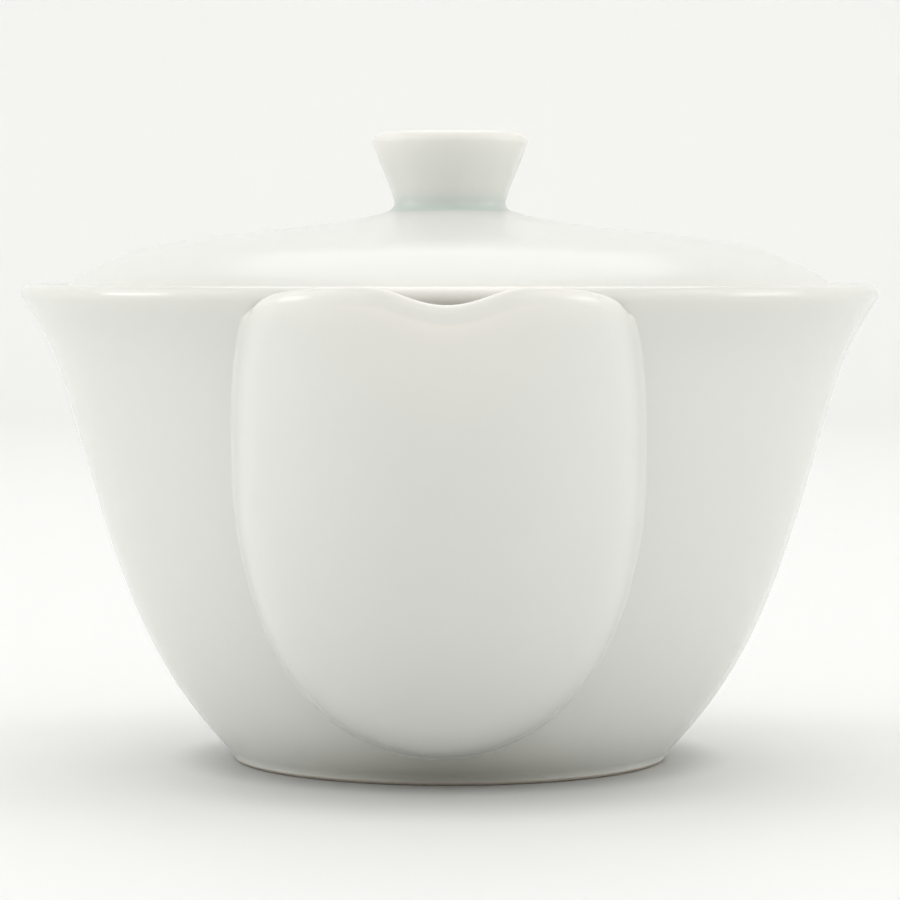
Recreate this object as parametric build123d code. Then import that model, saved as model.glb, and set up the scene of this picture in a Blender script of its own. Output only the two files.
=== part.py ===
from build123d import *
from math import cos, radians, sin, sqrt
import os

# A lidded porcelain brewing bowl with a pouch spout luted to its front wall.
# The origin is on the bowl's axis at the level of the table. +Z is up and the spout points to -Y.
# Turned outlines are drawn as (distance from the axis, height). All sizes are in millimetres.

# Bowl
foot_radius = 25.6
foot_ring_width = 2.5
foot_recess = 1.3
foot_edge = 0.4
floor_height = 4.8
floor_radius = 17.0
neck_height = 39.7                   # where the belly of the wall runs into its flared neck
neck_radius = 43.9
neck_inner_radius = 41.2
rim_height = 54.75                   # centre of the rounded edge of the rim
rim_radius = 49.0
rim_edge_radius = 1.1
rim_flare = 32.0                     # degrees from upright where the neck meets the rim
ledge_height = 53.2                  # the shelf inside the rim that the lid rests on
ledge_inner_radius = 43.2
ledge_outer_radius = 46.0
ledge_edge = 0.4

# Strainer, a thin screen in a window of the wall behind the spout
screen_thickness = 1.7
window_height = 29.0
window_half_width = 13.0
window_half_height = 14.0
window_lean = 17.0                   # degrees that the wall leans outwards at the window
hole_diameter = 1.7
hole_pitch = 3.0
hole_margin = 2.0

# Spout
spout_half_width = 22.0
spout_bottom = 4.0
spout_shoulder = 38.0                # height where the sides of the pouch stop spreading
spout_wall = 2.2
spout_side_round = 4.0
face_start = (30.0, 1.0)             # the middle of the pouch's face, from its bottom
face_low = (46.5, 13.0)              # up and out to its lip, and the two points that bend it
face_high = (52.5, 37.0)
face_end = (62.5, 60.0)
face_radius = 25.0                   # roundness of the face in plan up to face_narrows
face_narrows = 30.0                  # from this height the face grows rounder towards the lip
lip_face_radius = 21.2
lip_height = 55.4
lip_half_width = 18.8
lip_edge_radius = 0.9
notch_half_width = 6.4
notch_depth = 1.4
pouch_back = 8.0                     # the pouch is drawn back to here, then cut off by the bowl

# Lid
lid_radius = 45.3
lid_edge_height = 55.0
lid_edge_round = 0.5
lid_shoulder_radius = 38.1
lid_shoulder_height = 59.3
collar_radius = 42.6                 # the collar that hangs inside the bowl and centres the lid
collar_thickness = 2.2
collar_bottom = 49.8
dome_underside = 60.4

# Knob
knob_foot_radius = 6.5
knob_seat_height = 64.6
knob_radius = 9.1
knob_top = 73.6
knob_edge_radius = 1.0
dish_radius = 4.4
dish_depth = 3.8


def closed(*edges):
    return make_face(Plane.XZ * (Curve() + list(edges)))


def turned(*edges):
    return revolve(closed(*edges), axis=Axis.Z)


def forward(outline):
    # an upright outline drawn out through the front of the bowl
    return extrude(outline, amount=80, dir=(0, -1, 0))


def along(point, angle, distance):
    # a point further along a line that leans out from upright by this angle
    return (point[0] + distance * sin(radians(angle)), point[1] + distance * cos(radians(angle)))


def outer_wall():
    # from the foot to the top of the rim
    foot = (foot_radius, foot_edge)
    neck = (neck_radius, neck_height)
    flare = radians(rim_flare)
    rim_outside = (rim_radius + rim_edge_radius * cos(flare), rim_height - rim_edge_radius * sin(flare))
    rim_top = (rim_radius, rim_height + rim_edge_radius)
    rim_side = (rim_radius + rim_edge_radius, rim_height)
    belly = Bezier(foot, along(foot, 43, 13.8), along(neck, 15.3, -22), neck)
    throat = Bezier(neck, along(neck, 15.3, 8.5), along(rim_outside, rim_flare, -6.3), rim_outside)
    return [belly, throat, ThreePointArc(rim_outside, rim_side, rim_top)]


def inner_wall(shift=0.0):
    # from the ledge down to the floor, moved outwards by shift
    ledge = (ledge_inner_radius + shift, ledge_height - ledge_edge)
    throat = (ledge_inner_radius + shift, ledge_height - 2.2)
    neck = (neck_inner_radius + shift, neck_height)
    floor = (floor_radius + shift, floor_height)
    upper = Bezier(throat, along(throat, 0, -3.5), along(neck, 15.3, 3.8), neck)
    lower = Bezier(neck, along(neck, 15.3, -22), (floor[0] + 12.0, floor_height), floor)
    return [Line(ledge, throat), upper, lower]


def bowl_envelope():
    # everything inside the bowl's outer surface, used to trim the pouch
    top = rim_height + rim_edge_radius
    return turned(
        Polyline((rim_radius, top), (0, top), (0, 0), (foot_radius, 0), (foot_radius, foot_edge)),
        *outer_wall(),
    )


def window_prism():
    ellipse = Ellipse(window_half_width, window_half_height)
    return forward(Plane.XZ * Pos(0, window_height) * ellipse)


def make_bowl():
    rim_top = (rim_radius, rim_height + rim_edge_radius)
    rim_inside = (rim_radius - rim_edge_radius, rim_height)
    crown = (rim_radius - rim_edge_radius * sqrt(0.5), rim_height + rim_edge_radius * sqrt(0.5))
    ledge_out = (ledge_outer_radius, ledge_height)
    ledge_in = (ledge_inner_radius + ledge_edge, ledge_height)
    ledge_corner = (ledge_inner_radius, ledge_height)
    ledge_down = (ledge_inner_radius, ledge_height - ledge_edge)
    ring_inside = foot_radius - foot_edge - foot_ring_width
    cove = Bezier(rim_inside, (rim_inside[0], 53.9), (ledge_outer_radius + 1.0, ledge_height), ledge_out)
    base = Polyline(
        (floor_radius, floor_height),
        (0, floor_height),
        (0, foot_recess),
        (ring_inside - 0.8, foot_recess),
        (ring_inside, 0),
        (foot_radius - foot_edge, 0),
        (foot_radius, foot_edge),
    )
    body = turned(
        *outer_wall(),
        ThreePointArc(rim_top, crown, rim_inside),
        cove,
        Line(ledge_out, ledge_in),
        Bezier(ledge_in, ledge_corner, ledge_down),
        *inner_wall(),
        base,
    )
    return body - window_prism()


def make_strainer():
    # a slice of the wall, thinner than the wall and flush with it on the inside
    inside = inner_wall()
    outside = inner_wall(screen_thickness)
    top = Line(outside[0] @ 0, inside[0] @ 0)
    bottom = Line(inside[-1] @ 1, outside[-1] @ 1)
    screen = turned(*inside, bottom, *outside, top) & window_prism()
    lean = radians(window_lean)
    face = Plane((0, -38.5, window_height), x_dir=(1, 0, 0), z_dir=(0, -cos(lean), -sin(lean)))
    punch = Cylinder(hole_diameter / 2, 20)
    return screen - [face * Pos(x, y) * punch for x, y in hole_centres()]


def hole_centres():
    # rows half a pitch apart from each other, kept inside the window's oval
    width = window_half_width - hole_margin
    height = window_half_height - hole_margin
    row_gap = hole_pitch * sqrt(0.75)
    centres = []
    for row in range(-6, 7):
        for column in range(-6, 7):
            x = (column + 0.5 * (row % 2)) * hole_pitch
            y = row * row_gap
            if (x / width) ** 2 + (y / height) ** 2 <= 1:
                centres.append((x, y))
    return centres


def pouch_section(point, radius, inset):
    # a level slice of the pouch: a round face in front, and straight sides going back
    reach = point[0] - inset
    radius = radius - inset
    half_width = 0.96 * radius
    corner = reach - radius + sqrt(radius ** 2 - half_width ** 2)
    face = ThreePointArc((-half_width, -corner), (0, -reach), (half_width, -corner))
    sides = Polyline(
        (half_width, -corner),
        (half_width, -pouch_back),
        (-half_width, -pouch_back),
        (-half_width, -corner),
    )
    return Pos(0, 0, point[1]) * make_face(Curve() + [face, sides])


def pouch_outline(inset):
    # the pouch seen from the front: a deep round bottom and sides that draw in under the rim
    bottom = spout_bottom + 1.2 * inset
    side = spout_half_width - inset
    lip = lip_half_width - inset
    end = lip - 2.4
    right = [
        Bezier((0, bottom), (0.64 * side, bottom), (side, 19.0 + inset), (side, spout_shoulder)),
        Bezier((side, spout_shoulder), (side, 44.0), (side + 0.2, 49.0), (lip, lip_height)),
        Line((lip, lip_height), (end, face_end[1])),
    ]
    left = [mirror(edge, about=Plane.YZ) for edge in right]
    return closed(*right, *left, Line((end, face_end[1]), (-end, face_end[1])))


def pouch_form(inset, side_round):
    centre_line = Bezier(face_start, face_low, face_high, face_end)
    sections = []
    for step in range(7):
        point = centre_line @ (step / 6)
        narrowing = max(0.0, (point.Y - face_narrows) / (face_end[1] - face_narrows))
        radius = face_radius + narrowing * (lip_face_radius - face_radius)
        sections.append(pouch_section((point.X, point.Y), radius, inset))
    form = loft(sections) & forward(pouch_outline(inset))
    rounded = [edge for edge in form.edges() if min(edge.bounding_box().size) > 0.05]
    return fillet(rounded, side_round)


def below_lip():
    # the space under the lip line, with the pouring notch in its middle
    notch = (0, lip_height - notch_depth)
    right = (notch_half_width, lip_height)
    left = (-notch_half_width, lip_height)
    reach = 0.5 * notch_half_width
    outline = closed(
        Bezier(left, (-reach, lip_height), (-reach, notch[1]), notch),
        Bezier(notch, (reach, notch[1]), (reach, lip_height), right),
        Polyline(right, (30, lip_height), (30, 0), (-30, 0), (-30, lip_height), left),
    )
    return forward(outline)


def is_lip_edge(edge):
    box = edge.bounding_box()
    runs_back = box.size.X < 0.01
    return box.min.Z > lip_height - notch_depth - 0.01 and box.size.Y > 0.01 and not runs_back


def make_spout():
    shell = pouch_form(0.0, spout_side_round) - pouch_form(spout_wall, spout_side_round - 1.6)
    shell = shell & below_lip()
    lip = [edge for edge in shell.edges() if is_lip_edge(edge)]
    return fillet(lip, lip_edge_radius) - bowl_envelope()


def make_lid():
    edge_low = (lid_radius - lid_edge_round, ledge_height)
    edge_side = (lid_radius, ledge_height + lid_edge_round)
    edge_top = (lid_radius, lid_edge_height)
    shoulder = (lid_shoulder_radius, lid_shoulder_height)
    seat = (knob_foot_radius, knob_seat_height)
    collar_inside = collar_radius - collar_thickness
    skirt = Bezier(edge_top, (lid_radius, 56.6), (43.7, 57.15), shoulder)
    dome = Bezier(shoulder, (30.4, 62.3), (14.85, 61.65), seat)
    underside = Bezier((collar_inside, 54.2), (39.6, 57.2), (28.0, dome_underside), (0, dome_underside))
    collar = Polyline(
        (collar_inside, 54.2),
        (collar_inside, collar_bottom + 0.5),
        (collar_inside + 0.5, collar_bottom),
        (collar_radius - 0.5, collar_bottom),
        (collar_radius, collar_bottom + 0.5),
        (collar_radius, ledge_height),
        edge_low,
    )
    return turned(
        Bezier(edge_low, (lid_radius, ledge_height), edge_side),
        Line(edge_side, edge_top),
        skirt,
        dome,
        Polyline(seat, (0, knob_seat_height), (0, dome_underside)),
        underside,
        collar,
    )


def make_knob():
    edge_centre = knob_radius - knob_edge_radius
    edge_height = knob_top - knob_edge_radius
    outside = (knob_radius, edge_height)
    inside = (edge_centre - knob_edge_radius, edge_height)
    foot = (knob_foot_radius, knob_seat_height)
    flank = Bezier(foot, (6.7, 67.2), (8.7, 69.6), outside)
    edge = ThreePointArc(outside, (edge_centre, knob_top), inside)
    dish_floor = (dish_radius, knob_top - dish_depth)
    dish = Bezier(inside, (inside[0], 71.0), (dish_radius + 1.4, dish_floor[1]), dish_floor)
    core = Polyline(dish_floor, (0, dish_floor[1]), (0, knob_seat_height), foot)
    return turned(flank, edge, dish, core)


pieces = {
    "bowl": make_bowl,
    "strainer": make_strainer,
    "spout": make_spout,
    "lid": make_lid,
    "lid_knob": make_knob,
}

os.makedirs("parts", exist_ok=True)
for name, make in pieces.items():
    export_step(make(), f"parts/{name}.step")
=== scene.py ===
import math

import bmesh
import bpy
import numpy as np
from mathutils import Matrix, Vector


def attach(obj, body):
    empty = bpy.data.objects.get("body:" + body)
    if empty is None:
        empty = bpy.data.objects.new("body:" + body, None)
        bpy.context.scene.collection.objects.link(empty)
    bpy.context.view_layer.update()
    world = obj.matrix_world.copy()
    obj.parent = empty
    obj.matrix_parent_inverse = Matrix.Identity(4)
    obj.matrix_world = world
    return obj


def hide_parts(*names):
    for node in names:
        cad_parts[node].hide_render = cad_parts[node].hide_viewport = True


# A lidded porcelain brewing bowl with a pouch spout, on a plain pale studio floor.
# Outlines are worked out in millimetres as (distance from the axis, height); meshes are in metres.
# The spout looks to -Y.

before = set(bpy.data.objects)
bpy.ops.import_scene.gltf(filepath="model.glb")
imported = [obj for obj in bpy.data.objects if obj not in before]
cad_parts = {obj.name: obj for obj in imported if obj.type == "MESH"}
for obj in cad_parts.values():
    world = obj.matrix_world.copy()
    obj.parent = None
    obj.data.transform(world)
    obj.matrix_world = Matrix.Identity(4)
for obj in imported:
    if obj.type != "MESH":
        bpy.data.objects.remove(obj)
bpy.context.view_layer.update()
mm = 0.001
print("frame loaded:", ", ".join(sorted(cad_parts)))


class Signal:
    # a node socket that takes part in Python arithmetic
    def __init__(self, tree, socket=None):
        self.tree = tree
        self.socket = socket

    def node(self, kind, settings=None, sockets=None, output=0):
        made = self.tree.nodes.new(kind)
        for name, value in (settings or {}).items():
            if name == "stops":
                ramp = made.color_ramp.elements
                while len(ramp) < len(value):
                    ramp.new(1.0)
                for stop, (place, colour) in zip(ramp, value):
                    stop.position = place
                    stop.color = colour
            else:
                setattr(made, name, value)
        for name, value in (sockets or {}).items():
            if isinstance(value, Signal):
                self.tree.links.new(value.socket, made.inputs[name])
            else:
                made.inputs[name].default_value = value
        return Signal(self.tree, made.outputs[output])

    def other(self, output):
        # another output of the same node
        return Signal(self.tree, self.socket.node.outputs[output])

    def maths(self, operation, first, second=0.0):
        return self.node("ShaderNodeMath", {"operation": operation}, {0: first, 1: second})

    def __add__(self, other):
        return self.maths("ADD", self, other)

    def __radd__(self, other):
        return self.maths("ADD", other, self)

    def __sub__(self, other):
        return self.maths("SUBTRACT", self, other)

    def __rsub__(self, other):
        return self.maths("SUBTRACT", other, self)

    def __mul__(self, other):
        return self.maths("MULTIPLY", self, other)

    def __rmul__(self, other):
        return self.maths("MULTIPLY", other, self)

    def __truediv__(self, other):
        return self.maths("DIVIDE", self, other)

    def __pow__(self, other):
        return self.maths("POWER", self, other)

    def __gt__(self, other):
        return self.maths("GREATER_THAN", self, other)

    def clamp(self):
        return self.maths("MINIMUM", self.maths("MAXIMUM", self, 0.0), 1.0)


def bezier(a, b, c, d, steps=24):
    t = np.linspace(0, 1, steps + 1)[:, None]
    a, b, c, d = (np.array(p, float) for p in (a, b, c, d))
    return (1 - t) ** 3 * a + 3 * (1 - t) ** 2 * t * b + 3 * (1 - t) * t**2 * c + t**3 * d


def arc(centre, radius, start, end, steps=8):
    # angles in degrees, 0 outwards from the axis and 90 up
    angle = np.radians(np.linspace(start, end, steps + 1))
    return np.column_stack((centre[0] + radius * np.cos(angle), centre[1] + radius * np.sin(angle)))


def along(point, lean, distance):
    # a point further along a line that leans out from upright by so many degrees
    lean = math.radians(lean)
    return (point[0] + distance * math.sin(lean), point[1] + distance * math.cos(lean))


def joined(*runs):
    # runs of outline points put end to end, with the points that meet counted once
    path = np.vstack([np.atleast_2d(np.array(run, float)) for run in runs])
    keep = np.ones(len(path), bool)
    keep[1:] = np.linalg.norm(np.diff(path, axis=0), axis=1) > 1e-4
    return path[keep]


def smooth(mesh):
    mesh.polygons.foreach_set("use_smooth", np.ones(len(mesh.polygons), bool))
    mesh.update()


def newPiece(name, points, faces, marks=None):
    # points in millimetres; marks are named values, one for each point
    mesh = bpy.data.meshes.new(name)
    mesh.from_pydata((np.array(points) * mm).tolist(), [], faces)
    for mark, values in (marks or {}).items():
        held = mesh.attributes.new(mark, "FLOAT", "POINT")
        held.data.foreach_set("value", np.array(values, np.float32))
    smooth(mesh)
    piece = bpy.data.objects.new(name, mesh)
    bpy.context.scene.collection.objects.link(piece)
    return piece


def turnedPiece(name, path, segments, markOf):
    # the outline starts and ends on the axis, running up the outside first
    angles = np.arange(segments) * 2 * math.pi / segments
    inner = path[1:-1]
    rings = len(inner)
    across = np.outer(inner[:, 0], np.cos(angles))
    deep = np.outer(inner[:, 0], np.sin(angles))
    high = np.repeat(inner[:, 1][:, None], segments, 1)
    points = [(0, 0, path[0][1])] + np.stack((across, deep, high), -1).reshape(-1, 3).tolist()
    points.append((0, 0, path[-1][1]))
    last = len(points) - 1
    faces = []
    for k in range(segments):
        n = (k + 1) % segments
        faces.append((0, 1 + n, 1 + k))
        for ring in range(rings - 1):
            low, up = 1 + ring * segments, 1 + (ring + 1) * segments
            faces.append((low + k, low + n, up + n, up + k))
        top = 1 + (rings - 1) * segments
        faces.append((top + k, top + n, last))
    heights = np.array([p[2] for p in points])
    radii = np.hypot([p[0] for p in points], [p[1] for p in points])
    return newPiece(name, points, faces, markOf(radii, heights, *np.array(points).T[:2]))


def bump(values, centre, width):
    # 1 at the centre, fading smoothly to nothing over the width each way
    return np.exp(-(((np.asarray(values) - centre) / width) ** 2))


bowlSizes = {
    "foot": 25.6, "footEdge": 0.7, "footLean": 43, "footPull": 13.8,
    "ring": 2.5, "ringRound": 0.25, "recess": 1.3, "recessRound": 0.9,
    "floor": 4.8, "floorRadius": 17.0, "floorPull": 12,
    "neck": (43.9, 39.7), "neckInside": (41.2, 39.7), "neckLean": 15.3, "bellyPull": 22,
    "throatPull": 8.5, "throatInsidePulls": (3.5, 3.8),
    "rim": (49.0, 54.75), "rimRound": 1.1, "rimPull": 6.3, "flare": 32.0, "cove": 53.9,
    "ledge": 53.2, "ledgeInside": 43.2, "ledgeOutside": 46.0, "ledgeRound": 0.5, "ledgeDrop": 2.2,
    "segments": 288,
}


def outerWall():
    s = bowlSizes
    foot = (s["foot"], s["footEdge"])
    rimRun = arc(s["rim"], s["rimRound"], -s["flare"], 90, 12)
    belly = bezier(
        foot, along(foot, s["footLean"], s["footPull"]),
        along(s["neck"], s["neckLean"], -s["bellyPull"]), s["neck"], 48)
    throat = bezier(
        s["neck"], along(s["neck"], s["neckLean"], s["throatPull"]),
        along(rimRun[0], s["flare"], -s["rimPull"]), rimRun[0], 24)
    return joined(belly, throat, rimRun)


def innerWall():
    s = bowlSizes
    throat = (s["ledgeInside"], s["ledge"] - s["ledgeDrop"])
    topPull, neckPull = s["throatInsidePulls"]
    upper = bezier(
        throat, along(throat, 0, -topPull),
        along(s["neckInside"], s["neckLean"], neckPull), s["neckInside"], 16)
    lower = bezier(
        s["neckInside"], along(s["neckInside"], s["neckLean"], -s["bellyPull"]),
        (s["floorRadius"] + s["floorPull"], s["floor"]), (s["floorRadius"], s["floor"]), 48)
    return joined(upper, lower)


def wallRadius(height):
    wall = outerWall()
    wall = wall[: np.argmax(wall[:, 0]) + 1]
    return np.interp(height, wall[:, 1], wall[:, 0])


def innerRadius(height):
    wall = innerWall()[::-1]
    return np.interp(height, wall[:, 1], wall[:, 0])


def bowlMarks(radii, heights, across, deep):
    s = bowlSizes
    outside = radii > innerRadius(heights) + 0.8
    # the glaze runs thin over the rim, a warmer band whose lighter tint is partly painted highlight; behind
    # the notch of the spout it is painted light, lifting the shaded gap between lip and rim
    thinAndLit = 0.4 * bump(np.hypot(radii - s["rim"][0], heights - s["rim"][1] - 0.4), 0, 1.5)
    thinAndLit = thinAndLit + 1.2 * bump(across, 0, 9.0) * bump(heights, 54.5, 2.5) * (deep < -40) * outside
    # painted shade: the bowl goes darker and greyer low down under the spout, where the pouch's overhang
    # shades it
    under = 0.85 * bump(across, 0, 15.0) * bump(heights, 0.5, 4.2) * outside * (deep < 0)
    # it pools under the ledge and round the inside of the floor
    pool = bump(np.hypot(radii - s["ledgeInside"], heights - s["ledge"] + 2), 0, 2.0)
    pool = np.maximum(pool, 0.35 * bump(np.hypot(radii - 26, heights - 6), 0, 7.0) * ~outside)
    return {"glazeThin": thinAndLit, "glazePool": pool, "under": under, "bare": (heights < 0.45).astype(float)}


def makeBowl():
    s = bowlSizes
    ringInside = s["foot"] - s["footEdge"] - s["ring"]
    foot = joined(
        (0, s["recess"]), (ringInside * 0.5, s["recess"]), (ringInside - 2.0, s["recess"]),
        arc((ringInside - 1.0, s["recess"] - s["recessRound"]), s["recessRound"], 90, 20, 6),
        arc((ringInside + s["ringRound"], s["ringRound"]), s["ringRound"], 180, 270, 4),
        arc((s["foot"] - s["footEdge"], s["footEdge"]), s["footEdge"], 270, 345, 5))
    rimInside = (s["rim"][0] - s["rimRound"], s["rim"][1])
    cove = bezier(
        rimInside, (rimInside[0], s["cove"]), (s["ledgeOutside"] + 1, s["ledge"]),
        (s["ledgeOutside"], s["ledge"]), 10)
    ledgeEdge = arc(
        (s["ledgeInside"] + s["ledgeRound"], s["ledge"] - s["ledgeRound"]), s["ledgeRound"], 90, 180, 6)
    floorRings = [(s["floorRadius"] * share, s["floor"]) for share in (0.75, 0.5, 0.25)]
    path = joined(
        foot, outerWall(), arc(s["rim"], s["rimRound"], 90, 180, 10), cove, ledgeEdge, innerWall(),
        floorRings, (0, s["floor"]))
    return turnedPiece("glazed_bowl", path, s["segments"], bowlMarks)


window = {
    "height": 29.0, "halfWidth": 13.0, "halfHeight": 14.0, "sides": 96, "cutFrom": -28.0, "cutTo": -60.0,
}


def ovalPoints(scale=1.0):
    turn = np.arange(window["sides"]) * 2 * math.pi / window["sides"]
    across = window["halfWidth"] * scale * np.cos(turn)
    return across, window["height"] + window["halfHeight"] * scale * np.sin(turn)


def cutWindow(bowl):
    across, high = ovalPoints()
    n = len(across)
    points = [(x, y, z) for y in (window["cutFrom"], window["cutTo"]) for x, z in zip(across, high)]
    faces = [(k, (k + 1) % n, n + (k + 1) % n, n + k) for k in range(n)]
    cutter = newPiece("window_cutter", points, faces + [tuple(range(n))[::-1], tuple(range(n, 2 * n))])
    cut = bowl.modifiers.new("window", "BOOLEAN")
    cut.object = cutter
    cut.solver = "EXACT"
    plain(bowl)
    bpy.data.objects.remove(cutter)


def plain(piece):
    # the piece with its modifiers worked in, as an ordinary mesh without slivers
    shape = bpy.data.meshes.new_from_object(piece.evaluated_get(bpy.context.evaluated_depsgraph_get()))
    piece.modifiers.clear()
    clean = bmesh.new()
    clean.from_mesh(shape)
    bmesh.ops.dissolve_degenerate(clean, dist=1e-7, edges=clean.edges)
    clean.to_mesh(shape)
    clean.free()
    piece.data = shape


spoutSizes = {
    "aside": -0.75, "notchAside": 0.35,  # thrown by hand, so not quite in the middle
    "halfWidth": 22.6, "bottom": 4.0, "bottomPull": 0.64, "sideFrom": 19.0,
    "shoulder": 38.0, "shoulderTo": 44.0, "cornerPull": (0.2, 49.0),
    "lipHalfWidth": 19.6, "lip": 55.4, "lipRise": 0.3, "lipRound": 1.9,
    "notchHalfWidth": 9.0, "notchDepth": 2.0,
    "cornerFrom": 12.0, "cornerSpan": 8.2, "cornerEase": 0.35, "cornerDrop": 1.1,
    "face": ((30.0, 1.0), (46.5, 13.0), (52.5, 37.0), (62.5, 60.0)),
    "faceRadius": 25.0, "lipFaceRadius": 22.0, "narrowsFrom": 30.0, "faceTurn": 0.93, "faceFall": 2.5,
    "sideRound": 3.6, "sideLean": 78.0, "fillet": 1.3,
    "wall": 2.2, "wallShare": 0.35, "sunk": 0.012, "leastHalf": 9.0,
    "rowHeights": (1.2, 9.0, 30.0, 52.0), "rows": (40, 36, 40),
    "columnPlaces": (-5.4, 1.2, 4.0), "columns": (20, 38, 8), "beadTurns": 15,
}


def pouchOutline():
    # one half of the pouch seen from the front, from the middle of its bottom up to its lip
    s = spoutSizes
    side = (s["halfWidth"], s["shoulder"])
    bottom = bezier(
        (0, s["bottom"]), (s["bottomPull"] * side[0], s["bottom"]), (side[0], s["sideFrom"]), side, 80)
    upper = bezier(
        side, (side[0], s["shoulderTo"]), (side[0] + s["cornerPull"][0], s["cornerPull"][1]),
        (s["lipHalfWidth"], s["lip"]), 60)
    return joined(bottom, upper, (s["lipHalfWidth"] - 2.4, 60.0))


def insideDistance(across, high):
    # how far a point seen from the front lies inside the outline; negative outside it
    outline = pouchOutline()
    start, run = outline[:-1], np.diff(outline, axis=0)
    spot = np.stack((np.abs(across), high), -1)[..., None, :]
    share = np.clip(((spot - start) * run).sum(-1) / (run**2).sum(-1), 0, 1)
    nearest = np.linalg.norm(spot - (start + share[..., None] * run), axis=-1).min(-1)
    halfWidth = np.interp(high, outline[:, 1], outline[:, 0], left=-1.0)
    return np.where(np.abs(across) < halfWidth, nearest, -nearest)


def notchDip(across):
    # how far the lip falls: a shallow notch, then gently and at last steeply into the corners
    s = spoutSizes
    dip = np.clip(1 - ((across + s["aside"] - s["notchAside"]) / s["notchHalfWidth"]) ** 2, 0, 1)
    past = np.clip((np.abs(across) - s["cornerFrom"]) / s["cornerSpan"], 0, 1)
    return s["notchDepth"] * dip**2 + s["cornerEase"] * past**2 + s["cornerDrop"] * past**12


def pouchDepth(across, high):
    # how far forward the surface stands, and how much of that is the pouch's own;
    # across is counted from the pouch's own middle, a little to the left of the bowl's
    s = spoutSizes
    line = bezier(*s["face"], steps=80)
    reach = np.interp(high, line[:, 1], line[:, 0])
    narrowing = np.clip((high - s["narrowsFrom"]) / (s["face"][3][1] - s["narrowsFrom"]), 0, 1)
    radius = s["faceRadius"] + narrowing * (s["lipFaceRadius"] - s["faceRadius"])
    level = np.minimum(np.abs(across), s["faceTurn"] * radius)
    sag = radius - np.sqrt(radius**2 - level**2) + s["faceFall"] * (np.abs(across) - level)
    lean = math.radians(s["sideLean"])
    into = np.maximum(s["sideRound"] - insideDistance(across, high), 0)
    turned = np.minimum(into, s["sideRound"] * math.sin(lean))
    drop = s["sideRound"] - np.sqrt(s["sideRound"] ** 2 - turned**2) + math.tan(lean) * (into - turned)
    pouch = reach - sag - drop
    bowl = np.sqrt(np.maximum(wallRadius(high) ** 2 - (across + s["aside"]) ** 2, 1.0))
    blend = np.maximum(s["fillet"] - np.abs(pouch - bowl), 0) / s["fillet"]
    depth = np.maximum(pouch, bowl) + blend**2 * s["fillet"] / 4
    return depth, depth - bowl, blend


def spaced(stops, counts):
    # evenly spaced values from each stop to the next, with so many to each stretch
    runs = [np.linspace(a, b, count) for a, b, count in zip(stops, stops[1:], counts)]
    return np.concatenate([runs[0]] + [run[1:] for run in runs[1:]])


def makeSpout():
    # a sheet over the bowl's front, a bead along its top edge and a second sheet behind it
    s = spoutSizes
    outline = pouchOutline()
    low = spaced(s["rowHeights"], s["rows"])
    level = (low - low[0]) / (low[-1] - low[0])
    halves = []
    for height in low:
        half = max(np.interp(height, outline[:, 1], outline[:, 0]), s["leastHalf"])
        halves.append(spaced([0] + [half + place for place in s["columnPlaces"]], s["columns"]))
    halves = np.array(halves)
    across = np.hstack((-halves[:, :0:-1], halves))
    top = s["lip"] + s["lipRise"] - notchDip(across[-1]) - s["lipRound"]
    high = low[0] + level[:, None] * (top - low[0])[None, :]
    depth, proud, blend = pouchDepth(across, high)
    # where there's no pouch the sheet hides just inside the bowl's wall
    sunk = s["sunk"] * (1 - np.clip(proud / 0.05, 0, 1))
    outer = np.stack((across + s["aside"], -(depth - sunk), high), -1)
    upward = np.gradient(outer, axis=0)
    sideways = np.gradient(outer, axis=1)
    normal = np.cross(sideways, upward)
    normal /= np.linalg.norm(normal, axis=-1, keepdims=True)
    least = s["wallShare"]
    wall = s["wall"] * (least + (1 - least) * np.clip(proud / 2.5, 0, 1))[..., None]
    inside = outer - normal * wall
    tangent = upward[-1] / np.linalg.norm(upward[-1], axis=-1, keepdims=True)
    beadTurns = np.linspace(0, math.pi, s["beadTurns"])[1:-1]
    centre = (outer[-1] + inside[-1]) / 2
    rise = s["lipRound"] * (least + (1 - least) * np.clip(proud[-1] / 0.8, 0, 1))[:, None]
    bead = np.array([
        centre + wall[-1] / 2 * normal[-1] * math.cos(a) + rise * tangent * math.sin(a) for a in beadTurns])
    loop = np.concatenate((outer, bead, inside[::-1]))
    rows, columns = loop.shape[:2]
    faces = []
    for row in range(rows):
        up = (row + 1) % rows
        for k in range(columns - 1):
            faces.append((row * columns + k, row * columns + k + 1, up * columns + k + 1, up * columns + k))
    outerRows = len(low)
    for k in (0, columns - 1):
        ends = []
        for row in range(outerRows - 1):
            square = (row, row + 1, rows - 2 - row, rows - 1 - row)
            ends.append(tuple(corner * columns + k for corner in square))
        ends.append(tuple(row * columns + k for row in range(outerRows - 1, rows - outerRows + 1)))
        faces += ends if k == 0 else [face[::-1] for face in ends]
    pool = np.concatenate((0.3 * blend**2, np.zeros_like(bead[..., 0]), (0.3 * blend)[::-1]))
    # thin glaze along the lip, warmer, with a painted highlight in its lighter tint, and a painted
    # highlight in a soft glow under the notch
    nearLip = 0.4 * bump(high - top, 0.4, 1.6) + 0.6 * bump(high - top, 0, 9.0) * bump(across, 0, 12.0)
    thinAndLit = np.concatenate((nearLip, 0.6 * np.ones_like(bead[..., 0]), nearLip[::-1]))
    marks = {"glazePool": pool.ravel(), "glazeThin": thinAndLit.ravel(), "bare": np.zeros(rows * columns)}
    return newPiece("pouch_spout", loop.reshape(-1, 3), faces, marks)


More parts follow.
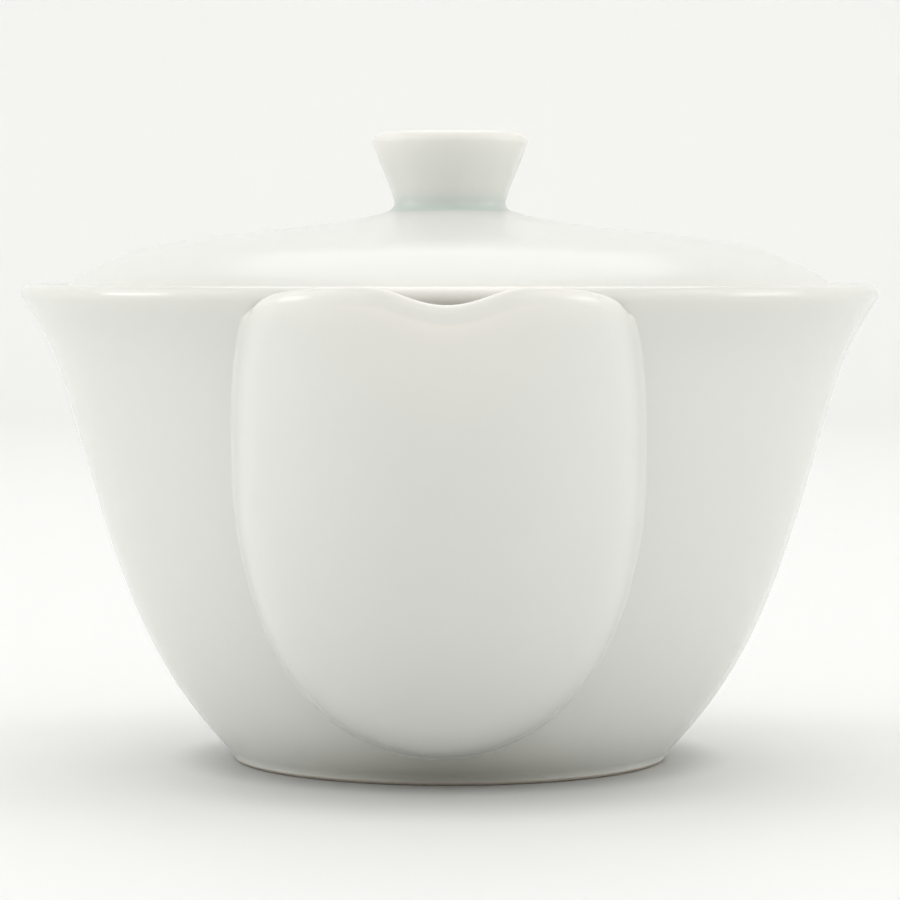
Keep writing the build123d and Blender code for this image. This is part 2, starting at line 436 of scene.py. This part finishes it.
lidSizes = {
    "radius": 45.3, "edgeTop": 54.7, "edgeRound": 0.5,
    "skirtPulls": ((45.3, 55.6), (43.2, 57.2)), "shoulder": (38.1, 59.3),
    "domePulls": ((30.4, 62.3), (14.85, 61.65)), "seat": (6.5, 64.6),
    "collar": 42.6, "collarWall": 2.2, "collarBottom": 49.8, "collarTop": 54.2, "collarCove": 0.4,
    "underside": 60.4, "undersidePulls": ((39.6, 57.2), (28.0, 60.4)),
    "segments": 256,
}


def lidTop():
    s = lidSizes
    skirt = bezier((s["radius"], s["edgeTop"]), *s["skirtPulls"], s["shoulder"], 28)
    dome = bezier(s["shoulder"], *s["domePulls"], s["seat"], 40)
    return joined(skirt, dome)


def lidInside():
    # the hollow under the dome, from the collar to the axis
    s = lidSizes
    return bezier(
        (s["collar"] - s["collarWall"], s["collarTop"]), *s["undersidePulls"], (0, s["underside"]), 40)


def lidMarks(radii, heights, across, deep):
    s = lidSizes
    inside = lidInside()[::-1]
    top = heights > np.interp(radii, inside[:, 0], inside[:, 1]) + 0.6
    pool = 0.7 * bump(radii, s["seat"][0], 0.8) * top
    pool = np.maximum(pool, bump(np.hypot(radii - s["collar"], heights - bowlSizes["ledge"]), 0, 1.0))
    # thin glaze round the lid's edge, warmer, its lighter tint a painted highlight
    thinAndLit = bump(np.hypot(radii - s["radius"], heights - s["edgeTop"] + 0.1), 0, 1.4)
    onSeat = (np.abs(heights - bowlSizes["ledge"]) < 0.3) & (radii > s["collar"] + 0.2)
    return {"glazePool": pool, "glazeThin": thinAndLit, "bare": onSeat.astype(float)}


def makeLid():
    s = lidSizes
    inside = s["collar"] - s["collarWall"]
    collarRound = s["collarWall"] / 2
    ledge = bowlSizes["ledge"]
    path = joined(
        lidInside()[::-1],
        (inside, s["collarBottom"] + collarRound),
        arc((inside + collarRound, s["collarBottom"] + collarRound), collarRound, 180, 360, 12),
        (s["collar"], ledge - 0.5),
        arc((s["collar"] + s["collarCove"], ledge - s["collarCove"]), s["collarCove"], 180, 90, 4),
        arc((s["radius"] - s["edgeRound"], ledge + s["edgeRound"]), s["edgeRound"], 270, 360, 6),
        lidTop(), (0, s["seat"][1]))
    return turnedPiece("domed_lid", path, s["segments"], lidMarks)


knobSizes = {
    "under": 63.7, "foot": 6.5, "footTop": (6.56, 65.5), "skirt": 0.75, "sunk": 0.012,
    "flankPulls": ((7.05, 67.6), (8.4, 70.0)), "radius": 9.1, "top": 73.6, "edge": 1.2,
    "dish": 4.4, "dishDepth": 3.8, "dishCorner": 1.4, "dishFrom": 71.0, "segments": 128,
}


def knobMarks(radii, heights, across, deep):
    s = knobSizes
    outside = radii > s["dish"]
    pool = bump(heights, 64.7, 1.3) * outside
    inDish = np.hypot(radii - s["dish"] - 0.6, heights - s["top"] + s["dishDepth"])
    pool = np.maximum(pool, 0.7 * bump(inDish, 0, 1.6))
    # thin glaze round the knob's top edge, warmer, its lighter tint a painted highlight
    thinAndLit = bump(np.hypot(radii - s["radius"] + s["edge"], heights - s["top"] + 0.6), 0, 1.5)
    return {"glazePool": pool, "glazeThin": thinAndLit, "bare": np.zeros(len(radii))}


def makeKnob():
    s = knobSizes
    edgeCentre = (s["radius"] - s["edge"], s["top"] - s["edge"])
    lidTopLine = lidTop()[::-1]
    skirtRadius = s["foot"] + s["skirt"]
    skirt = (skirtRadius, np.interp(skirtRadius, lidTopLine[:, 0], lidTopLine[:, 1]) - s["sunk"])
    footTop = s["footTop"]
    fillet = bezier(skirt, along(skirt, -70, 0.45), along(footTop, 3, -0.55), footTop, 8)
    flank = bezier(footTop, *s["flankPulls"], (s["radius"], edgeCentre[1]), 28)
    dishFloor = s["top"] - s["dishDepth"]
    dish = bezier(
        (edgeCentre[0] - s["edge"], edgeCentre[1]), (edgeCentre[0] - s["edge"], s["dishFrom"]),
        (s["dish"] + s["dishCorner"], dishFloor), (s["dish"], dishFloor), 16)
    path = joined(
        (0, s["under"]), (skirtRadius - 0.4, s["under"]), (skirtRadius - 0.05, skirt[1] - 0.25),
        fillet, flank,
        arc(edgeCentre, s["edge"], 0, 180, 18), dish, (s["dish"] / 2, dishFloor), (0, dishFloor))
    return turnedPiece("flared_knob", path, s["segments"], knobMarks)


glaze = {
    "tint": (0.712, 0.716, 0.684), "thinGlazeAndLightTint": (0.83, 0.81, 0.755), "paintedShadeTint": (0.40, 0.40, 0.335),
    "poolTint": (0.565, 0.63, 0.59), "bareTint": (0.50, 0.455, 0.385), "speckTint": (0.45, 0.40, 0.33),
    "roughness": 0.13, "bareRoughness": 0.75, "ior": 1.5,
    "cloudSize": 38.0, "fineSize": 420.0, "gritSize": 1500.0,
    "waveSize": 55.0, "waveDepth": 0.10, "speckSize": 210.0, "speckShare": 0.985, "speckle": 0.30,
}


def glazeMaterial(name, seed=0.0, **changes):
    g = {**glaze, **changes}
    made = bpy.data.materials.new(name)
    made.use_nodes = True
    tree = made.node_tree
    shader = tree.nodes["Principled BSDF"]
    start = Signal(tree)
    place = start.node("ShaderNodeTexCoord", output=3)
    place = start.node(
        "ShaderNodeVectorMath", {"operation": "ADD"}, {0: place, 1: (seed, seed * 2, seed * 3)})

    def mark(word):
        return start.node("ShaderNodeAttribute", {"attribute_name": word}, output=2)

    def noise(size, detail=2.0, rough=0.5):
        return start.node(
            "ShaderNodeTexNoise", None,
            {"Vector": place, "Scale": size, "Detail": detail, "Roughness": rough})

    def mixed(share, first, second):
        def full(colour):
            return colour if isinstance(colour, Signal) else (*colour, 1.0)
        return start.node(
            "ShaderNodeMix", {"data_type": "RGBA"}, {0: share, 6: full(first), 7: full(second)}, output=2)

    cloud = noise(g["cloudSize"], 3.0)
    fine = noise(g["fineSize"], 2.0)
    body = mixed((cloud - 0.35) * 1.2, g["tint"], tuple(0.975 * part for part in g["tint"]))
    # thin glaze at edges, warmer, with painted highlight in its lighter tint, and painted light behind and
    # under the spout's notch
    body = mixed(mark("glazeThin").clamp() * (0.75 + 0.5 * cloud).clamp(), body, g["thinGlazeAndLightTint"])
    body = mixed((mark("glazePool") * 0.9).clamp(), body, g["poolTint"])
    # painted shade under the spout's overhang, from the under mark
    body = mixed(mark("under").clamp(), body, g["paintedShadeTint"])
    # iron specks, few and tiny
    cells = start.node("ShaderNodeTexVoronoi", None, {"Vector": place, "Scale": g["speckSize"]})
    chosen = start.node("ShaderNodeSeparateColor", None, {0: cells.other(1)})
    speck = ((0.055 - cells) * 40.0).clamp() * (chosen > g["speckShare"])
    body = mixed(speck * g["speckle"], body, g["speckTint"])
    bare = mark("bare")
    grit = noise(g["gritSize"], 4.0, 0.7)
    clay = mixed((grit - 0.3) * 1.6, g["bareTint"], tuple(0.8 * part for part in g["bareTint"]))
    edge = ((bare + (fine - 0.5) * 0.5 - 0.5) * 8.0).clamp()
    colour = mixed(edge, body, clay)
    gloss = (g["roughness"] + (cloud - 0.5) * 0.05) * (1 - edge) + edge * g["bareRoughness"]
    wave = noise(g["waveSize"], 1.0)
    height = wave * g["waveDepth"] + edge * grit * 0.03 - speck * 0.01
    bump = start.node("ShaderNodeBump", None, {"Strength": 1.0, "Distance": mm, "Height": height})
    tree.links.new(colour.socket, shader.inputs["Base Color"])
    tree.links.new(gloss.socket, shader.inputs["Roughness"])
    tree.links.new(bump.socket, shader.inputs["Normal"])
    shader.inputs["IOR"].default_value = g["ior"]
    return made


screen = {
    "thickness": 1.7, "recess": 0.12, "tuck": 1.015, "rings": 22,
    "pitch": 3.0, "hole": 1.7, "margin": 2.0, "lean": 17.0, "wobble": 0.12, "flare": 0.28,
    "columns": 11, "rows": 13, "seed": 7, "punchSides": 20, "punchRings": 9,
}


def makePlate():
    # an oval plate that follows the inside of the bowl, tucked a little into the wall round the window
    s = screen
    n = window["sides"]
    scales = np.linspace(0, s["tuck"], s["rings"] + 1)[1:]
    flat = [np.array([[0.0, window["height"]]])] + [np.column_stack(ovalPoints(scale)) for scale in scales]
    across, high = np.vstack(flat).T
    lean = np.arctan(np.gradient(innerWall()[:, 0], innerWall()[:, 1]))
    lean = np.interp(high, innerWall()[::-1, 1], lean[::-1])
    sides = []
    for offset in (s["recess"], s["recess"] + s["thickness"]):
        radius = innerRadius(high)
        turn = np.arcsin(across / radius)
        radius = radius + offset * np.cos(lean)
        sides.append(np.column_stack(
            (radius * np.sin(turn), -radius * np.cos(turn), high - offset * np.sin(lean))))
    count = len(across)
    faces = []
    for side in (0, 1):
        base = side * count
        for k in range(n):
            m = (k + 1) % n
            loops = [(base, base + 1 + k, base + 1 + m)]
            for ring in range(s["rings"] - 1):
                a, b = base + 1 + ring * n, base + 1 + (ring + 1) * n
                loops.append((a + k, b + k, b + m, a + m))
            faces += loops if side else [loop[::-1] for loop in loops]
    last = 1 + (s["rings"] - 1) * n
    for k in range(n):
        m = (k + 1) % n
        faces.append((last + k, last + m, count + last + m, count + last + k))
    return newPiece("pierced_screen", np.vstack(sides), faces)


def punchTree(material):
    # a hexagonal field of waisted punches, thrown on the plate along its lean and cut out of it
    tree = bpy.data.node_groups.new("punchedHoles", "GeometryNodeTree")
    face = tree.interface
    face.new_socket("Geometry", in_out="INPUT", socket_type="NodeSocketGeometry")
    for name in ("Pitch", "Hole", "Flare", "Thickness", "Half Width", "Half Height", "Wobble"):
        face.new_socket(name, in_out="INPUT", socket_type="NodeSocketFloat")
    for name in ("Centre", "Across", "Up", "Out"):
        face.new_socket(name, in_out="INPUT", socket_type="NodeSocketVector")
    face.new_socket("Geometry", in_out="OUTPUT", socket_type="NodeSocketGeometry")
    given = tree.nodes.new("NodeGroupInput").outputs
    sizes = {socket.name: Signal(tree, socket) for socket in given if socket.name}
    start = Signal(tree)

    def vector(operation, first, second, output=0):
        factor = {"Scale": second} if operation == "SCALE" else {1: second}
        return start.node("ShaderNodeVectorMath", {"operation": operation}, {0: first, **factor}, output)

    columns, rows = screen["columns"], screen["rows"]
    field = start.node(
        "GeometryNodeMeshGrid", None,
        {"Size X": sizes["Pitch"] * (columns - 1), "Size Y": sizes["Pitch"] * (rows - 1) * math.sqrt(0.75),
         "Vertices X": columns, "Vertices Y": rows})
    index = start.node("GeometryNodeInputIndex")
    row = index.maths("FLOORED_MODULO", index, rows)
    here = start.node("ShaderNodeSeparateXYZ", None, {0: start.node("GeometryNodeInputPosition")})
    shift = row.maths("FLOORED_MODULO", row, 2) * 0.5 * sizes["Pitch"]
    jitter = start.node(
        "FunctionNodeRandomValue", {"data_type": "FLOAT_VECTOR"},
        {0: (-1.0, -1.0, 0.0), 1: (1.0, 1.0, 0.0), "Seed": screen["seed"]})
    jitter = vector("SCALE", jitter, sizes["Wobble"])
    loose = start.node("ShaderNodeSeparateXYZ", None, {0: jitter})
    x = here + shift
    y = here.other(1)
    outside = (x / sizes["Half Width"]) ** 2 + (y / sizes["Half Height"]) ** 2 > 1.0
    spread = vector("ADD", vector("SCALE", sizes["Across"], x + loose), sizes["Centre"])
    spread = vector("ADD", spread, vector("SCALE", sizes["Up"], y + loose.other(1)))
    back = vector("SCALE", sizes["Out"], -0.02)
    spread = vector("ADD", spread, back)
    dots = start.node("GeometryNodeMeshToPoints", None, {"Mesh": field})
    dots = start.node("GeometryNodeStoreNamedAttribute", {"data_type": "BOOLEAN", "domain": "POINT"},
                      {"Geometry": dots, "Name": "outside", "Value": outside})
    dots = start.node("GeometryNodeSetPosition", None, {"Geometry": dots, "Position": spread})
    flag = start.node("GeometryNodeInputNamedAttribute", {"data_type": "BOOLEAN"}, {"Name": "outside"})
    dots = start.node(
        "GeometryNodeDeleteGeometry", {"domain": "POINT"}, {"Geometry": dots, "Selection": flag})
    hit = start.node(
        "GeometryNodeRaycast", None,
        {"Target Geometry": sizes["Geometry"], "Ray Direction": sizes["Out"], "Ray Length": 0.05})
    # hit outputs: 0 is hit, 1 position, 2 normal; the near face's normal looks back at the axis
    inward = hit.other(2)
    middle = vector("ADD", hit.other(1), vector("SCALE", inward, sizes["Thickness"] * -0.5))
    turned = start.node(
        "FunctionNodeAlignRotationToVector", {"axis": "Z"}, {"Vector": inward})
    length = sizes["Thickness"] * 1.8
    punch = start.node(
        "GeometryNodeMeshCylinder", None,
        {"Vertices": screen["punchSides"], "Side Segments": screen["punchRings"],
         "Radius": sizes["Hole"] * 0.5, "Depth": length})
    spot = start.node("ShaderNodeSeparateXYZ", None, {0: start.node("GeometryNodeInputPosition")})
    high = spot.other(2)
    near = high.maths("MINIMUM", high.maths("ABSOLUTE", high) / (sizes["Thickness"] * 0.5), 1.6)
    widen = 1.0 + (near ** 6) * sizes["Flare"] / sizes["Hole"]
    waist = start.node(
        "ShaderNodeCombineXYZ", None, {0: spot * widen, 1: spot.other(1) * widen, 2: high})
    punch = start.node("GeometryNodeSetPosition", None, {"Geometry": punch, "Position": waist})
    # the turn is kept before the points move on to the plate
    dots = start.node("GeometryNodeStoreNamedAttribute", {"data_type": "QUATERNION", "domain": "POINT"},
                      {"Geometry": dots, "Name": "turn", "Value": turned})
    punches = start.node("GeometryNodeSetPosition", None, {"Geometry": dots, "Position": middle})
    turn = start.node("GeometryNodeInputNamedAttribute", {"data_type": "QUATERNION"}, {"Name": "turn"})
    punches = start.node(
        "GeometryNodeInstanceOnPoints", None, {"Points": punches, "Instance": punch, "Rotation": turn})
    punches = start.node("GeometryNodeRealizeInstances", None, {"Geometry": punches})
    pierced = start.node(
        "GeometryNodeMeshBoolean", {"operation": "DIFFERENCE", "solver": "EXACT"},
        {"Mesh 1": sizes["Geometry"], "Mesh 2": punches})
    whole = start.node("GeometryNodeRealizeInstances", None, {"Geometry": pierced})
    whole = start.node("GeometryNodeSetMaterial", None, {"Geometry": whole, "Material": material})
    tree.links.new(whole.socket, tree.nodes.new("NodeGroupOutput").inputs[0])
    return tree


def makeScreen(material):
    s = screen
    lean = math.radians(s["lean"])
    values = {
        "Pitch": s["pitch"] * mm, "Hole": s["hole"] * mm, "Flare": s["flare"] * mm,
        "Thickness": s["thickness"] * mm, "Wobble": s["wobble"] * mm,
        "Half Width": (window["halfWidth"] - s["margin"]) * mm,
        "Half Height": (window["halfHeight"] - s["margin"]) * mm,
        "Centre": (0.0, -innerRadius(window["height"]) * mm, window["height"] * mm),
        "Across": (1.0, 0.0, 0.0), "Up": (0.0, -math.sin(lean), math.cos(lean)),
        "Out": (0.0, -math.cos(lean), -math.sin(lean)),
    }
    piece = makePlate()
    punched = piece.modifiers.new("holes", "NODES")
    punched.node_group = punchTree(material)
    for socket in punched.node_group.interface.items_tree:
        if socket.in_out == "INPUT" and socket.name in values:
            punched[socket.identifier] = values[socket.name]
    plain(piece)
    return piece


def crisp(piece, degrees):
    # smooth all over but for edges sharper than this
    smooth(piece.data)
    piece.data.set_sharp_from_angle(angle=math.radians(degrees))


whiteGlaze = glazeMaterial("whiteGlaze")
# painted light: the spout and the lid get lighter copies of the same white glaze, standing in for more
# light on them
spoutGlazeLightened = glazeMaterial("spoutGlazeLightened", 0.31, tint=(0.722, 0.729, 0.699), roughness=0.19)
lidGlazeLightened = glazeMaterial(
    "lidGlazeLightened", 0.74, tint=(0.735, 0.739, 0.705), roughness=0.23, ior=1.34)

bowl = makeBowl()
cutWindow(bowl)
crisp(bowl, 50)
print("bowl turned and its window cut")
strainer = makeScreen(whiteGlaze)
crisp(strainer, 40)
print("screen punched:", len(strainer.data.polygons), "faces")
spout = makeSpout()
print("spout shaped")
lid = makeLid()
knob = makeKnob()
print("lid and knob turned")

pieces = [
    (bowl, "vessel", "bowl", "bowl_porcelain", whiteGlaze),
    (strainer, "vessel", "strainer", "screen_porcelain", whiteGlaze),
    (spout, "vessel", "spout", "spout_porcelain", spoutGlazeLightened),
    (lid, "cover", "lid", "lid_porcelain", lidGlazeLightened),
    (knob, "cover", "lid_knob", "knob_porcelain", lidGlazeLightened),
]
for piece, body, node, slot, material in pieces:
    piece.data.materials.clear()
    piece.data.materials.append(material)
    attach(piece, body)
    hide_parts(node)
print("pieces placed:", ", ".join(entry[0].name for entry in pieces))


studio = {
    "floorRadius": 950.0, "sweep": 330.0, "wallHeight": 1500.0, "floorRings": 12, "segments": 128,
    "tone": (0.835, 0.835, 0.822), "roughness": 0.6,
    "ambient": 0.45, "ambientTint": (1.0, 1.0, 1.0), "aimHeight": 30,
    "shade": 0.80, "shadeCentre": (0, -22), "shadeFrom": 14.0, "shadeTo": 34.0,
    "contactShadow": 0.72, "contactShadowFrom": 25.6, "contactShadowTo": 34.0,
    "lights": {
        "overhead": {"place": (0, 150, 1400), "size": 1500, "power": 2.4},
        "top": {"place": (0, 0, 1300), "size": 900, "power": 2.2},
        "overBack": {"place": (0, 950, 1250), "size": 1000, "power": 3.1},
        "overFront": {"place": (0, -950, 1300), "size": 1400, "power": 2.0},
        "left": {"place": (-1000, 0, 700), "size": 1000, "power": 1.9},
        "right": {"place": (1000, 0, 700), "size": 1000, "power": 1.9},
        "leftLow": {"place": (-1150, 0, 300), "size": 500, "power": 2.0},
        "rightLow": {"place": (1150, 0, 300), "size": 500, "power": 1.4},
        "leftFront": {"place": (-800, -800, 500), "size": 800, "power": 0.6},
        "rightFront": {"place": (800, -800, 500), "size": 800, "power": 0.8},
    },
}


def makeFloor():
    s = studio
    sweepCentre = (s["floorRadius"], s["sweep"])
    path = joined(
        [(r, 0) for r in np.linspace(0, s["floorRadius"], s["floorRings"])],
        arc(sweepCentre, s["sweep"], -90, 0, 24),
        (s["floorRadius"] + s["sweep"], s["wallHeight"]))
    segments = s["segments"]
    angles = np.arange(segments) * 2 * math.pi / segments
    rings = path[1:]
    points = [(0.0, 0.0, 0.0)]
    points += [(r * math.cos(a), r * math.sin(a), z) for r, z in rings for a in angles]
    faces = []
    for k in range(segments):
        m = (k + 1) % segments
        faces.append((0, 1 + k, 1 + m))
        for ring in range(len(rings) - 1):
            a, b = 1 + ring * segments, 1 + (ring + 1) * segments
            faces.append((a + k, b + k, b + m, a + m))
    floor = newPiece("studio_floor", points, faces)
    paper = bpy.data.materials.new("palePaper")
    paper.use_nodes = True
    shader = paper.node_tree.nodes["Principled BSDF"]
    start = Signal(paper.node_tree)
    place = start.node("ShaderNodeTexCoord", output=3)
    # painted shadow: the floor is darker in a soft disc just in front of the foot, where the bowl and spout
    # shade it
    centre = (s["shadeCentre"][0] * mm, s["shadeCentre"][1] * mm, 0.0)
    away = start.node("ShaderNodeVectorMath", {"operation": "DISTANCE"}, {0: place, 1: centre}, output=1)
    outOfShadow = start.node(
        "ShaderNodeMapRange", {"interpolation_type": "SMOOTHSTEP"},
        {0: away, 1: s["shadeFrom"] * mm, 2: s["shadeTo"] * mm})
    near = tuple(s["shade"] * part for part in s["tone"])
    tone = start.node(
        "ShaderNodeMix", {"data_type": "RGBA"}, {0: outOfShadow, 6: (*near, 1.0), 7: (*s["tone"], 1.0)}, output=2)
    # painted contact shadow: darker still where the floor runs in under the foot
    out = start.node("ShaderNodeVectorMath", {"operation": "LENGTH"}, {0: place}, output=1)
    clear = start.node(
        "ShaderNodeMapRange", {"interpolation_type": "SMOOTHSTEP"},
        {0: out, 1: s["contactShadowFrom"] * mm, 2: s["contactShadowTo"] * mm})
    share = clear * (1 - s["contactShadow"]) + s["contactShadow"]
    tone = start.node("ShaderNodeVectorMath", {"operation": "SCALE"}, {0: tone, "Scale": share})
    paper.node_tree.links.new(tone.socket, shader.inputs["Base Color"])
    shader.inputs["Roughness"].default_value = s["roughness"]
    shader.inputs["Specular IOR Level"].default_value = 0.2
    floor.data.materials.append(paper)


def makeLights():
    world = bpy.data.worlds.new("softRoom")
    bpy.context.scene.world = world
    world.use_nodes = True
    glow = world.node_tree.nodes["Background"].inputs
    glow["Color"].default_value = (*studio["ambientTint"], 1.0)
    glow["Strength"].default_value = studio["ambient"]
    aim = Vector((0, 0, studio["aimHeight"] * mm))
    for name, s in studio["lights"].items():
        lamp = bpy.data.lights.new(name, "AREA")
        lamp.shape = "DISK"
        lamp.size = s["size"] * mm
        lamp.energy = s["power"]
        held = bpy.data.objects.new(name, lamp)
        held.location = Vector(s["place"]) * mm
        held.rotation_euler = (aim - held.location).to_track_quat("-Z", "Y").to_euler()
        held.visible_camera = False
        bpy.context.scene.collection.objects.link(held)


view = {"distance": 436.0, "height": 58.5, "azimuth": 0.6, "pitch": 2.92, "lens": 148.1}


def makeCamera():
    v = view
    lens = bpy.data.cameras.new("viewer")
    lens.lens = v["lens"]
    lens.sensor_width = 36.0
    lens.clip_start = 0.01
    lens.clip_end = 20.0
    held = bpy.data.objects.new("viewer", lens)
    turn = math.radians(v["azimuth"])
    across, deep = v["distance"] * math.sin(turn), -v["distance"] * math.cos(turn)
    held.location = Vector((across, deep, v["height"])) * mm
    held.rotation_euler = (math.radians(90 - v["pitch"]), 0, turn)
    bpy.context.scene.collection.objects.link(held)
    bpy.context.scene.camera = held


makeFloor()
makeLights()
makeCamera()
bpy.context.scene.view_settings.view_transform = "Standard"
print("studio ready")
